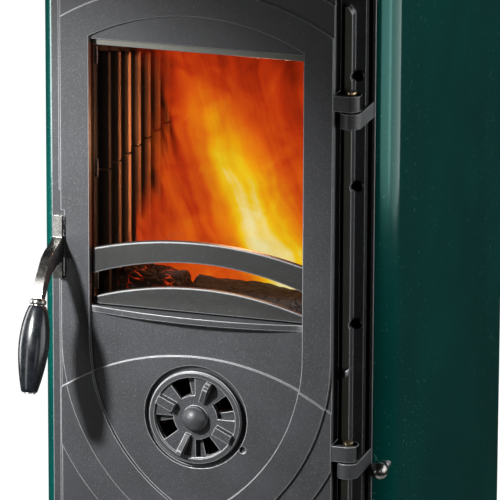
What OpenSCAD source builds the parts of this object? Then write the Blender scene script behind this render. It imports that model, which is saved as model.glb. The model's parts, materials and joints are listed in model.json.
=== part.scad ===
// Wood burning stove: cast-iron body and door, enamelled side panels, lift-up door handle.
// Origin: on the floor under the centre line, 250 mm behind the door's front. +Z is up, the door faces -Y.

/* [Body] */
// Overall width over the enamelled side panels
body_w = 414; // [400:1:440]
// Depth from the door's front face to the back of the side panels
body_d = 540; // [520:1:560]
// Height of the top plate's upper face above the floor
body_h = 915; // [905:1:940]
// Height of the plinth under the fire chamber
plinth_h = 130; // [120:1:135]
// Height of the side panels' lower edge above the floor
panel_low_z = 36; // [30:1:100]
// Radius of the side panels' front corners
panel_corner_r = 40; // [36:1:44]
// Thickness of the enamelled steel sheet
panel_t = 3; // [2:0.5:4]
// Thickness of the cast fire-chamber walls
wall_t = 8; // [6:1:9]

/* [Door] */
// Width of the door casting
door_w = 316; // [312:1:318]
// Height of the door casting
door_h = 730; // [720:1:735]
// Overall thickness of the door casting at its edge
door_t = 27; // [26:0.5:28]
// Half width of the window and of the shield below it
window_half_w = 124; // [120:1:125]
// Radius of the arch over the window
arch_r = 263.5; // [255:0.5:275]
// Radius of the two arcs that close the shield at the bottom
shield_r = 220; // [210:1:240]
// Width of each raised band of the relief
band_w = 33; // [30:1:34]
// Radius of the arched step across the lower door
step_r = 275; // [265:1:290]
// Height of each step in the relief
step_h = 3; // [2:0.5:3]
// Thickness of the ceramic glass
glass_t = 4; // [3:0.5:4]

/* [Air controls] */
// Radius of the round air register
register_r = 54; // [50:1:56]
// Radius of the ball on the air rod
knob_r = 10; // [8:0.5:11]
// Travel of the air rod
air_travel = 40; // [20:1:40]

/* [Handle] */
// Length of the turned grip
grip_len = 95; // [85:1:105]
// Largest radius of the grip
grip_r = 17; // [15:0.5:18]
// Forward tilt of the grip from the vertical
grip_tilt = 18.5; // [15:0.5:20]

/* [Flue] */
// Inside radius of the flue socket
flue_r = 75.5; // [75:0.5:76]
// Distance of the flue behind the body's centre
flue_y = 100; // [90:1:110]

/* [Hidden] */
$fn = 96;
e = 0.01;

// Body levels and planes
half_w = body_w / 2;
front_y = -250;
back_y = front_y + body_d;
door_z = 530;
base_t = 8;
deck_t = 10;
panel_edge_x = 187;
cheek_t = 4;
cheek_y = 64;
cheek_back = 110;
frame_y = 42;
frame_t = 10;
frame_half_w = 182.4;
opening_half_w = 138;
chamber_x = 150;
wall_back_y = 182;
shield_y = back_y - 6;
crown_z = 868;
crown_t = 8;
top_t = 20;
top_z = body_h - top_t;
grate_z = 360;
grate_t = 12;
liner_top = 770;
liner_t = 20;

// Door levels, measured from the front of the raised band
door_top = door_h / 2 - 20;
door_bottom = door_top - door_h;
plate_back = 20;
field_depth = 5;
arch_z = -4.5;
shield_z = -120;
step_z = -406;
window_top = 224;
sill_z = -83;
rope_out = 152;
rope_in = 140;
register_z = -201;
disc_face = 1;
disc_t = 6.4;
slot_r_in = 25.8;
slot_r_out = 46.5;
slot_angle = 38;

// Hinge, handle and air rod axes, measured from the door's front centre
hinge_x = 174;
hinge_y = 13;
knuckle_r = 12;
pin_r = 4;
run_fit = 0.06;
upper_hinge_z = 165.5;
lower_hinge_z = -235.5;
lug_h = 17.5;
lug_gap = 2.5;
pivot_y = 12;
pivot_z = -18;
lever_x0 = -164.5;
lever_x1 = -153.5;
lever_x = (lever_x0 + lever_x1) / 2;
notch_x = -153;
notch_z0 = -50;
notch_z1 = 26;
collar_y = -69.5;
collar_z = -57;
rod_x = 198;
rod_y = 55;
rod_z = -260;
rod_r = 3.5;

iron = "dimgray";
black = "black";
enamel = "darkgreen";
steel = "silver";

// ---------- helpers ----------

// Puts the origin at the centre of the door's front face.
module at_door() { translate([0, front_y, door_z]) children(); }

// Stands a flat (x, z) outline up between two depths.
module slab(y0, y1) { translate([0, y1, 0]) rotate([90, 0, 0]) linear_extrude(y1 - y0) children(); }

module both_sides() { children(); mirror([1, 0, 0]) children(); }

module box(x0, x1, y0, y1, z0, z1) { translate([x0, y0, z0]) cube([x1 - x0, y1 - y0, z1 - z0]); }

module rod_along_y(r, y0, y1) { translate([0, y0, 0]) rotate([-90, 0, 0]) cylinder(r = r, h = y1 - y0); }

module rod_along_x(r, x0, x1) { translate([x0, 0, 0]) rotate([0, 90, 0]) cylinder(r = r, h = x1 - x0); }

module rounded_rect(x0, x1, y0, y1, r) {
  translate([x0 + r, y0]) square([x1 - x0 - 2 * r, y1 - y0]);
  translate([x0, y0 + r]) square([x1 - x0, y1 - y0 - 2 * r]);
  for (x = [x0 + r, x1 - r], y = [y0 + r, y1 - r]) translate([x, y]) circle(r);
}

// Slot with round ends, standing along the second axis.
module slot(r, length) {
  translate([-r, -length / 2]) square([2 * r, length]);
  for (y = [-length / 2, length / 2]) translate([0, y]) circle(r);
}

// Plan of the body: square at the back, rounded at the two front corners, grown by off.
module body_plan(off) {
  x = half_w + off;
  y0 = front_y + cheek_y - 4 - off;
  r = panel_corner_r + off;
  union() {
    translate([-x, y0 + r]) square([2 * x, back_y + off - y0 - r]);
    translate([-x + r, y0]) square([2 * (x - r), r + 1]);
    for (s = [-1, 1]) translate([s * (x - r), y0 + r]) circle(r);
  }
}

// Points of an arc of radius r about (cx, cy), from angle a0 to a1.
function arc(cx, cy, r, a0, a1, n) =
  [for (i = [0:n]) let (a = a0 + (a1 - a0) * i / n) [cx + r * cos(a), cy + r * sin(a)]];

// One contour of the door relief: an arch over straight sides, closed by a pointed shield below.
function relief(off) =
  let (
    top_r = arch_r + off,
    side_x = window_half_w + off,
    low_r = shield_r + off,
    low_cx = shield_r - window_half_w,
    top_a = acos(side_x / top_r),
    tip_a = acos(low_cx / low_r)
  )
  concat(
    arc(0, arch_z, top_r, top_a, 180 - top_a, 40),
    arc(low_cx, shield_z, low_r, 180, 180 + tip_a, 20),
    arc(-low_cx, shield_z, low_r, 360 - tip_a, 360, 20)
  );

module relief_shape(off) { polygon(relief(off)); }

module door_outline(inset) {
  w = door_w / 2 - inset;
  rounded_rect(-w, w, door_bottom + inset, door_top - inset, max(2, 10 - inset));
}

// Everything below the arched step across the lower door.
module below_step() {
  intersection() {
    union() {
      translate([0, step_z]) circle(step_r, $fn = 240);
      translate([-door_w, door_bottom - 10]) square([2 * door_w, step_z - door_bottom + 10 + 60]);
    }
    translate([-door_w, door_bottom - 10]) square([2 * door_w, door_h]);
  }
}

module sector(r0, r1, a, spread) {
  intersection() {
    difference() { circle(r1); circle(r0); }
    rotate(a) polygon([[0, 0], [80 * cos(spread / 2), -80 * sin(spread / 2)], [80, 0],
                       [80 * cos(spread / 2), 80 * sin(spread / 2)]]);
  }
}

// ---------- base ----------

module base_plate() {
  color(iron) difference() {
    linear_extrude(base_t) body_plan(-14);
    for (p = level_points()) translate([p[0], p[1], -e]) cylinder(r = 5, h = base_t + 2 * e);
  }
}

function level_points() = [for (x = [-150, 150], y = [-120, 190]) [x, y]];

module levelling_bolts() {
  color(steel) for (p = level_points()) translate([p[0], p[1], 0.5]) {
    cylinder(r = 5, h = 40);
    translate([0, 0, base_t - 0.5]) cylinder(r = 9, h = 5, $fn = 6);
  }
}

module plinth_skirt() {
  color(iron) difference() {
    translate([0, 0, base_t]) linear_extrude(plinth_h - deck_t - base_t) difference() {
      body_plan(-12);
      body_plan(-18);
    }
    for (x = [-60:30:60]) slab(back_y - 30, back_y + 10) translate([x, 60]) slot(5, 40);
  }
}

module hearth_deck() {
  color(iron) translate([0, 0, plinth_h - deck_t]) linear_extrude(deck_t) body_plan(-4);
}

// ---------- fire chamber ----------

module chamber_wall(holes) {
  difference() {
    box(chamber_x, chamber_x + wall_t, front_y + frame_y + frame_t, wall_back_y + wall_t, plinth_h, crown_z);
    if (holes) for (i = [0:3])
      translate([0, -60 + 22 * i, door_z + rod_z]) rod_along_x(6, chamber_x - 1, chamber_x + wall_t + 1);
  }
}

module wall_left() { color(iron) mirror([1, 0, 0]) chamber_wall(false); }

module wall_right() { color(iron) chamber_wall(true); }

module wall_back() {
  color(iron) box(-chamber_x, chamber_x, wall_back_y, wall_back_y + wall_t, plinth_h, crown_z);
}

module crown_plate() {
  color(iron) difference() {
    box(-chamber_x - wall_t, chamber_x + wall_t, front_y + frame_y + frame_t, wall_back_y + wall_t,
        crown_z, crown_z + crown_t);
    translate([0, flue_y, crown_z - e]) cylinder(r = flue_r, h = crown_t + 2 * e);
  }
}

bolt_z = [197.5, 72.5, -85.5, -310];
bolt_x = 175.5;

// Cast front frame: plate, seal land and the raised rib beside each long edge of the door.
module front_frame() {
  low = plinth_h - door_z;
  high = top_z - door_z;
  color(iron) at_door() difference() {
    union() {
      slab(frame_y, frame_y + frame_t) translate([-frame_half_w, low]) square([2 * frame_half_w, high - low]);
      both_sides() slab(door_t + 3, frame_y + e)
        polygon([[161, -340], [165, -346], [170, -346], [170, 268], [165, 276], [161, 276]]);
    }
    slab(door_t, frame_y + frame_t + 1)
      rounded_rect(-opening_half_w, opening_half_w, door_bottom + 14, door_top - 14, 6);
    for (z = bolt_z) translate([bolt_x, 0, z]) rod_along_y(7, door_t, frame_y);
    // slot for the door latch
    box(-frame_half_w + 4, notch_x + 1.5, door_t, frame_y, notch_z0 - 12, notch_z1 + 14);
  }
}

// Raised land that the door's rope closes against.
module seal_land() {
  color(iron) at_door() difference() {
    slab(door_t + 5.3, frame_y) rounded_rect(-rope_out - 1, rope_out + 1, door_bottom + 5, door_top - 5, 8);
    slab(door_t, frame_y + 1)
      rounded_rect(-opening_half_w, opening_half_w, door_bottom + 14, door_top - 14, 6);
    box(-frame_half_w, notch_x + 1.5, door_t, frame_y + 1, notch_z0 - 12, notch_z1 + 14);
  }
}

module frame_bolts() {
  color(black) at_door() for (z = bolt_z) translate([bolt_x, 0, z]) difference() {
    rod_along_y(5.8, frame_y - 6, frame_y);
    rod_along_y(2.8, frame_y - 7, frame_y - 2.5);
  }
}

// Angle that closes the gap between the front frame and the enamelled panel.
module cheek() {
  z0 = plinth_h - door_z;
  z1 = top_z - door_z;
  at_door() {
    box(panel_edge_x - cheek_t, panel_edge_x, cheek_y, cheek_back, z0, z1);
    box(chamber_x + wall_t, panel_edge_x - cheek_t + e, cheek_back - 6, cheek_back, z0, z1);
  }
}

module cheek_left() { color(iron) mirror([1, 0, 0]) cheek(); }

module cheek_right() { color(iron) cheek(); }

// Enamelled steel side panel, rolled round the front corner.
module side_panel() {
  difference() {
    translate([0, 0, panel_low_z]) linear_extrude(top_z - panel_low_z) difference() {
      body_plan(0);
      body_plan(-panel_t);
      translate([-half_w - 1, front_y]) square([half_w + 1 + panel_edge_x, body_d + 1]);
      translate([0, back_y - 2]) square([half_w - 6, 6]);
    }
  }
}

module side_panel_left() { color(enamel) mirror([1, 0, 0]) side_panel(); }

module side_panel_right() {
  color(enamel) difference() {
    side_panel();
    at_door() translate([rod_x, 0, rod_z]) rod_along_y(6.1, 40, 100);
  }
}

module panel_spacers() {
  color(steel) both_sides() for (y = [-90, 150], z = [220, 800])
    box(chamber_x + wall_t, half_w - panel_t, y, y + 24, z, z + 24);
}

module rear_shield() {
  color(iron) difference() {
    box(-half_w + panel_t + 1, half_w - panel_t - 1, shield_y, shield_y + 3, plinth_h, top_z);
    for (z = [200:40:840], x = [-130, 40]) box(x, x + 90, shield_y - 1, shield_y + 4, z, z + 8);
  }
  color(iron) for (x = [-120, 114], z = [180, 820]) box(x, x + 6, wall_back_y + wall_t, shield_y + e, z, z + 20);
}

// ---------- top ----------

module top_plate() {
  color(iron) difference() {
    translate([0, 0, top_z]) linear_extrude(top_t) difference() {
      body_plan(8);
      translate([0, flue_y]) circle(flue_r + 7);
      for (i = [-4:4]) translate([i * 30, -92]) slot(5, 40);
    }
  }
}

function support_points() = [for (x = [-130, 130], y = [-150, 170]) [x, y]];

module top_supports() {
  color(steel) for (p = support_points()) translate([p[0], p[1], crown_z + crown_t])
    cylinder(r = 9, h = top_z - crown_z - crown_t);
}

collar_flange_r = flue_r + 22;

module flue_collar() {
  color(iron) translate([0, flue_y, crown_z + crown_t]) difference() {
    union() {
      cylinder(r = flue_r + 5, h = 90);
      cylinder(r = collar_flange_r, h = 6);
      translate([0, 0, 84]) cylinder(r = flue_r + 6.5, h = 6);
    }
    translate([0, 0, -e]) cylinder(r = flue_r, h = 92);
  }
}

module collar_bolts() {
  color(steel) for (a = [45:90:315]) translate([0, flue_y, crown_z + crown_t + 6]) rotate(a)
    translate([flue_r + 14, 0, 0]) cylinder(r = 5, h = 5, $fn = 6);
}

// ---------- inside the chamber ----------

module baffle_plate() {
  color("tan") box(-chamber_x + 1, chamber_x - 1, -90, wall_back_y - e, liner_top, liner_top + 12);
}

rib_pitch = 35;
rib_w = 9;
liner_joint_z = 580;

// Ribs stop along a line that falls towards the back.
function rib_top(y) = 703 - 0.25 * (y + 123);

// Ribbed cast liner standing on the grate carrier, with a groove where its two halves meet.
module side_liner() {
  difference() {
    union() {
      box(chamber_x - 8, chamber_x - e, -190, wall_back_y - liner_t, grate_z + e, liner_top);
      for (y = [-164:rib_pitch:wall_back_y - liner_t - 12]) {
        box(chamber_x - liner_t, chamber_x - 7, y, y + rib_w, grate_z + grate_t + 10, rib_top(y));
        translate([0, y + rib_w / 2, rib_top(y)]) rod_along_x(rib_w / 2, chamber_x - liner_t, chamber_x - 7);
      }
    }
    box(chamber_x - liner_t - 1, chamber_x - 6, -191, wall_back_y, liner_joint_z, liner_joint_z + 2);
  }
}

module liner_left() { color(iron) mirror([1, 0, 0]) side_liner(); }

module liner_right() { color(iron) side_liner(); }

module liner_back() {
  color(iron) {
    box(-chamber_x + e, chamber_x - e, wall_back_y - 8, wall_back_y - e, grate_z + e, liner_top);
    for (x = [-126:30.5:126])
      box(x, x + 8, wall_back_y - liner_t + 2, wall_back_y - 7, grate_z + grate_t + 10, liner_top - 6);
  }
}

module grate_carrier() {
  color(iron) difference() {
    box(-chamber_x + e, chamber_x - e, -194, wall_back_y - e, grate_z - 10, grate_z);
    box(-110, 110, -140, 140, grate_z - 11, grate_z + 1);
  }
}

module fire_grate() {
  color(iron) difference() {
    box(-126, 126, -160, 158, grate_z, grate_z + grate_t);
    for (x = [-100:20:100], y = [-130, 10]) box(x - 5, x + 5, y, y + 120, grate_z - 1, grate_z + grate_t + 1);
  }
}

module log_retainer() {
  color(iron) {
    box(-126, 126, -176, -168, grate_z, grate_z + 60);
    for (x = [-120, 112]) box(x, x + 8, -190, -175.9, grate_z, grate_z + 30);
  }
}

pan_x = 120;
pan_z = plinth_h + 32;

module pan_rails() {
  color(iron) both_sides() box(70, 82, -190, 160, plinth_h, pan_z);
}

module ash_pan() {
  color(steel) difference() {
    box(-pan_x, pan_x, -185, 150, pan_z, pan_z + 70);
    box(-pan_x + 2, pan_x - 2, -183, 148, pan_z + 2, pan_z + 71);
  }
}

module ash_pan_handle() {
  color(steel) for (x = [-45, 39]) box(x, x + 6, -205, -185, pan_z + 48, pan_z + 54);
  color(steel) box(-45, 45, -205, -199, pan_z + 44, pan_z + 58);
}

// ---------- hinges and latch ----------

knuckle_top = [upper_hinge_z - lug_gap, lower_hinge_z - lug_gap];

// Cast knuckle on an arm that reaches back to the frame and the cheek.
module hinge_bracket(top) {
  at_door() difference() {
    translate([0, 0, top - lug_h]) linear_extrude(lug_h) union() {
      translate([hinge_x, hinge_y]) circle(knuckle_r);
      polygon([[hinge_x - 7, hinge_y], [hinge_x + knuckle_r, hinge_y], [hinge_x + knuckle_r, cheek_y],
               [panel_edge_x - cheek_t, cheek_y], [frame_half_w + 0.5, frame_y + 8],
               [frame_half_w + 0.5, frame_y], [hinge_x - 1, frame_y], [hinge_x - 1, 32]]);
    }
    translate([hinge_x, hinge_y, top - lug_h - e]) cylinder(r = pin_r, h = lug_h + 2 * e);
  }
}

module hinge_bracket_upper() { color(iron) hinge_bracket(knuckle_top[0]); }

module hinge_bracket_lower() { color(iron) hinge_bracket(knuckle_top[1]); }

module hinge_pins() {
  color(steel) at_door() for (z = knuckle_top) translate([hinge_x, hinge_y, 0]) {
    translate([0, 0, z - lug_h]) cylinder(r = pin_r, h = 2 * lug_h + lug_gap + 0.4);
    translate([0, 0, z + lug_gap + lug_h + 0.4]) cylinder(r = 6, h = 3);
  }
}

module hinge_washers() {
  color("goldenrod") at_door() for (z = knuckle_top) translate([hinge_x, hinge_y, z]) difference() {
    cylinder(r = 5.8, h = lug_gap - 0.4);
    translate([0, 0, -e]) cylinder(r = pin_r, h = lug_gap);
  }
}

// Roller that the lever's tongue slides under as the door closes.
module latch_striker() {
  color(steel) at_door() {
    box(lever_x0 - 6, lever_x0 - 1, frame_y - 9, frame_y, -6, 4);
    translate([0, frame_y - 4, -1]) rod_along_x(3, lever_x0 - 1.01, lever_x1);
  }
}

// Bent spring-steel strip that holds the rope's joint on the hinge side.
module spring_clip() {
  color(steel) at_door() translate([170, 0, -158]) {
    box(0, 1.2, 28.8, frame_y, 0, 26);
    box(-9.5, 0.01, 28.8, 29.9, 0, 14);
  }
}

// ---------- door ----------

// Relief of one region of the door, standing shift proud of the usual level.
module door_relief(shift) {
  slab(2 * step_h - shift, plate_back) difference() {
    intersection() { door_outline(0); children(); }
    relief_shape(0);
  }
  slab(step_h - shift, 2 * step_h - shift + e) difference() {
    intersection() { door_outline(0); children(); relief_shape(2 * band_w - 2); }
    relief_shape(0);
  }
  slab(-shift, step_h - shift + e) difference() {
    intersection() { door_outline(0); children(); relief_shape(band_w); }
    relief_shape(0);
  }
  slab(field_depth - shift, plate_back) intersection() { relief_shape(0); children(); }
}

module whole_plane() { translate([-300, -600]) square([600, 1200]); }

module door_lug(z) {
  translate([0, 0, z]) linear_extrude(lug_h) union() {
    translate([hinge_x, hinge_y]) circle(knuckle_r);
    translate([door_w / 2 - 4, hinge_y - knuckle_r]) square([hinge_x - door_w / 2 + 4, 2 * knuckle_r]);
  }
}

module door_casting() {
  color(iron) at_door() difference() {
    union() {
      door_relief(0) difference() { whole_plane(); below_step(); }
      door_relief(step_h) below_step();
      slab(plate_back - e, door_t) difference() {
        door_outline(0);
        door_outline(door_w / 2 - rope_out);
      }
      slab(plate_back - e, door_t) difference() {
        door_outline(door_w / 2 - rope_in);
        door_outline(door_w / 2 - rope_in + 5);
      }
      for (z = [upper_hinge_z, lower_hinge_z]) door_lug(z);
      sill();
    }
    // window
    slab(-10, plate_back + 1) intersection() {
      relief_shape(0);
      translate([-200, sill_z]) square([400, window_top - sill_z]);
    }
    // air register: recess, centre bore, air holes and the stop notch
    translate([0, 0, register_z]) {
      rod_along_y(register_r + 6, -20, 7.8);
      rod_along_y(5, -20, plate_back + 1);
      slab(5, plate_back + 1) for (a = [0:90:270]) sector(slot_r_in, slot_r_out, 32 + a, slot_angle);
      translate([55, 0, -33]) rod_along_y(4, -20, 6);
    }
    // notch and pivot hole for the handle
    box(-door_w / 2 - 1, notch_x, -10, door_t + 1, notch_z0, notch_z1);
    translate([0, pivot_y, pivot_z]) rod_along_x(pin_r, notch_x - 1, notch_x + 14);
    for (z = [upper_hinge_z, lower_hinge_z]) translate([hinge_x, hinge_y, z - e])
      cylinder(r = pin_r + run_fit, h = lug_h + 2 * e);
  }
}

// Bow-fronted ledge under the window.
module sill() {
  r = 550;
  intersection() {
    translate([0, r - 9, sill_z - 7]) cylinder(r = r, h = 7, $fn = 360);
    box(-window_half_w - 1, window_half_w + 1, -12, plate_back, sill_z - 7, sill_z);
  }
}

glass_y = plate_back + 1.5;
glass_half_w = 130;
glass_low = sill_z - 12;
glass_high = window_top + 10;

module door_glass() {
  color([0.2, 0.2, 0.2, 0.35]) at_door() box(-glass_half_w, glass_half_w, glass_y, glass_y + glass_t,
                                            glass_low, glass_high);
}

module glass_gasket() {
  color("white") at_door() slab(plate_back, glass_y) difference() {
    translate([-glass_half_w, glass_low]) square([2 * glass_half_w, glass_high - glass_low]);
    translate([-window_half_w - 1, sill_z - 2]) square([2 * window_half_w + 2, window_top - sill_z + 4]);
  }
}

clip_z = [-60, 70, 200];

module glass_clips() {
  y1 = glass_y + glass_t;
  color(steel) at_door() both_sides() for (z = clip_z) {
    box(glass_half_w - 8, glass_half_w + 4, y1, y1 + 2, z - 10, z + 10);
    box(glass_half_w + 0.3, glass_half_w + 4, plate_back, y1, z - 10, z + 10);
  }
}

module glass_clip_screws() {
  y1 = glass_y + glass_t + 2;
  color(steel) at_door() both_sides() for (z = clip_z)
    translate([glass_half_w - 1, 0, z]) rod_along_y(3.5, y1, y1 + 2.2);
}

module door_rope_seal() {
  color("gray") at_door() slab(plate_back + e, door_t + 5) difference() {
    door_outline(door_w / 2 - rope_out + 0.5);
    door_outline(door_w / 2 - rope_in - 0.5);
  }
}

// Arched strip between two arcs with the same rise and their own heights.
module arched_strip(z_low, z_high, rise_low, rise_high) {
  w = window_half_w - 1;
  n = 24;
  polygon(concat(
    [for (i = [0:n]) let (x = -w + 2 * w * i / n) [x, z_high + rise_high * (1 - x * x / (w * w))]],
    [for (i = [n:-1:0]) let (x = -w + 2 * w * i / n) [x, z_low + rise_low * (1 - x * x / (w * w))]]
  ));
}

module window_bar() {
  color(iron) at_door() slab(9, 17) arched_strip(-47, -18, 22, 17);
}

// Strip that trims the top edge of the glass.
module window_head_strip() {
  color(iron) at_door() slab(13, 19.5) translate([-window_half_w, 215]) square([2 * window_half_w, 9]);
}

module window_lip() {
  color(iron) at_door() slab(13, 19.5) arched_strip(sill_z, sill_z + 8, 0, 20);
}

module inner_shield() {
  color(iron) at_door() difference() {
    slab(door_t + 1, door_t + 3) translate([-128, -355]) square([256, 250]);
    translate([0, 0, register_z]) rod_along_y(slot_r_out + 6, door_t, door_t + 4);
  }
  color(iron) at_door() for (x = [-115, 115], z = [-335, -125])
    translate([x, 0, z]) rod_along_y(5, plate_back, door_t + 1.01);
}

module shield_screws() {
  color(steel) at_door() for (x = [-115, 115], z = [-335, -125])
    translate([x, 0, z]) rod_along_y(4.5, door_t + 3, door_t + 5.5);
}

// ---------- air register ----------

hub_r = 14;

module register_stud() {
  color(steel) at_door() translate([0, 0, register_z]) {
    rod_along_y(5, disc_face - 1, plate_back + 4);
    rod_along_y(9, -9, disc_face - 5.6);
    rod_along_y(5, -6, disc_face);
    rod_along_y(8.5, plate_back, plate_back + 4);
  }
}

module register_disc() {
  color(iron) at_door() translate([0, 0, register_z]) difference() {
    union() {
      rod_along_y(register_r, disc_face, disc_face + disc_t);
      slab(disc_face - 3, disc_face + e) difference() {
        circle(register_r - 1);
        circle(slot_r_out + 1);
      }
      rod_along_y(hub_r, disc_face - 6.2, disc_face + e);
      slab(disc_face - 8.5, disc_face + e) for (a = [155, 335]) rotate(a) translate([26, -5]) square([21, 10]);
      for (a = [68, 248]) rotate([0, -a, 0]) translate([0, 0, -3]) linear_extrude(6)
        polygon([[21, disc_face + 1], [21, -4], [26, -6], [39, -12], [44, -12], [47, -7], [47, disc_face + 1]]);
    }
    slab(-20, 20) for (a = [20:90:290]) sector(slot_r_in, slot_r_out, a, slot_angle);
    rod_along_y(5 + run_fit, -20, 20);
    rod_along_y(9.4, -20, disc_face - 5);
  }
}

// Domed cap pressed over the head of the stud.
module register_cap() {
  color(iron) at_door() translate([0, 0, register_z]) difference() {
    translate([0, 0.9, 0]) sphere(15.4);
    rod_along_y(20, disc_face - 6.2, 30);
    rod_along_y(9.4, -9.6, -5);
  }
}

// ---------- handle ----------

module at_pivot() { translate([0, pivot_y, pivot_z]) children(); }

// Side profile (y, z) stood up across the lever's width.
module lever_profile() {
  translate([lever_x0, 0, 0]) rotate([90, 0, 90]) linear_extrude(lever_x1 - lever_x0) children();
}

module handle_lever() {
  color(steel) at_door() difference() {
    union() {
      lever_profile() polygon([
        [14, -9], [6, -4], [-1.2, -4], [-1.2, 21], [-6, 21], [-6.5, -4], [-14, -8], [-34, -12.5], [-46, -18],
        [-62, -33], [-72, -46], [-75.7, -54.9], [-63.3, -59.1], [-52, -46], [-38, -36], [-24, -32], [-7, -32],
        [-6, -52], [-1.2, -52], [-1.2, -30], [6, -28], [12, -29], [20, -26], [34, -19], [39, -14], [36, -8],
        [22, -10]
      ]);
    }
    at_pivot() rod_along_x(pin_r + run_fit, lever_x0 - 1, lever_x1 + 1);
    grip_frame() translate([0, 0, -14]) cylinder(r = pin_r, h = 30);
  }
}

// Shoulder bolt that the lever turns on, screwed into the door's edge.
module handle_pivot() {
  color(steel) at_door() at_pivot() {
    rod_along_x(pin_r, lever_x0 - 0.5, notch_x + 13);
    rod_along_x(7, lever_x0 - 4.5, lever_x0 - 0.4);
  }
}

// Origin at the foot of the lever, +Z along the grip.
module grip_frame() {
  translate([lever_x, collar_y, collar_z]) rotate([180 - grip_tilt, 0, 0]) children();
}

ferrule_h = 8;

module handle_ferrule() {
  color("lightgray") at_door() grip_frame() difference() {
    union() {
      cylinder(r = 7.5, h = ferrule_h);
      translate([0, 0, 2]) cylinder(r = 9, h = 4);
    }
    translate([0, 0, -e]) cylinder(r = pin_r, h = ferrule_h + 1);
    lever_clear();
  }
}

// Space that the lever's foot takes out of the ferrule.
module lever_clear() { translate([-20, -20, -10]) cube([40, 40, 10]); }

// Radius along the grip: slim at the top, fullest above its middle, slim at the foot.
function grip_radius(t) = 9 + (grip_r - 9) * pow(sin(180 * pow(t, 0.85)), 0.9);

module handle_grip() {
  n = 28;
  color(black) at_door() grip_frame() translate([0, 0, ferrule_h]) rotate_extrude() polygon(concat(
    [[pin_r, 0]],
    [for (i = [0:n]) [grip_radius(i / n), grip_len * i / n]],
    [[pin_r, grip_len]]
  ));
}

module grip_spindle() {
  color(steel) at_door() grip_frame() translate([0, 0, -12]) {
    cylinder(r = pin_r, h = ferrule_h + grip_len + 12);
    translate([0, 0, ferrule_h + grip_len + 12]) cylinder(r = 7, h = 2.5);
  }
}

// ---------- air rod ----------

module at_rod() { at_door() translate([rod_x, 0, rod_z]) children(); }

module air_rod_bush() {
  color(steel) at_rod() difference() {
    rod_along_y(5.8, 72, 100);
    rod_along_y(rod_r + run_fit, 71, 101);
  }
}

module air_rod() {
  color(steel) at_rod() rod_along_y(rod_r, rod_y, 260);
}

module air_knob() {
  color("gainsboro") at_rod() difference() {
    union() {
      translate([0, rod_y, 0]) sphere(knob_r);
      rod_along_y(5, rod_y + 6, rod_y + knob_r + 3);
    }
    rod_along_y(rod_r, rod_y, rod_y + 30);
  }
}

// Plate that slides over the air holes in the chamber's right wall.
module air_slide() {
  x0 = chamber_x + wall_t + 0.4;
  color(steel) {
    difference() {
      box(x0, x0 + 3, -80, 40, door_z + rod_z - 12, door_z + rod_z + 12);
      for (i = [0:3]) translate([0, -50 + 22 * i, door_z + rod_z]) rod_along_x(5.5, x0 - 1, x0 + 4);
    }
    difference() {
      box(x0 + 2.9, rod_x + 5, -20, -14, door_z + rod_z - 6, door_z + rod_z + 6);
      translate([rod_x, 0, door_z + rod_z]) rod_along_y(rod_r, -30, 0);
    }
  }
}

base_plate();
levelling_bolts();
plinth_skirt();
hearth_deck();
wall_left();
wall_right();
wall_back();
crown_plate();
front_frame();
seal_land();
cheek_left();
cheek_right();
side_panel_left();
side_panel_right();
panel_spacers();
rear_shield();
top_plate();
top_supports();
flue_collar();
collar_bolts();
baffle_plate();
liner_left();
liner_right();
liner_back();
grate_carrier();
fire_grate();
log_retainer();
pan_rails();
ash_pan();
ash_pan_handle();
frame_bolts();
hinge_bracket_upper();
hinge_bracket_lower();
hinge_pins();
hinge_washers();
latch_striker();
spring_clip();
air_rod_bush();
door_casting();
door_glass();
glass_gasket();
glass_clips();
glass_clip_screws();
door_rope_seal();
window_bar();
window_lip();
window_head_strip();
inner_shield();
shield_screws();
register_stud();
handle_pivot();
register_disc();
register_cap();
handle_lever();
handle_ferrule();
handle_grip();
grip_spindle();
air_rod();
air_knob();
air_slide();
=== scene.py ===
"""Looks for a cast-iron wood burning stove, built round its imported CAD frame.

Laid out as an add-on: each piece or group of pieces has an operator, and the sidebar panel lists them.
All lengths are metres unless a name says mm, in the frame's own axes: +Z up, door towards -Y.
"""

import json
import math
import random

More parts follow.
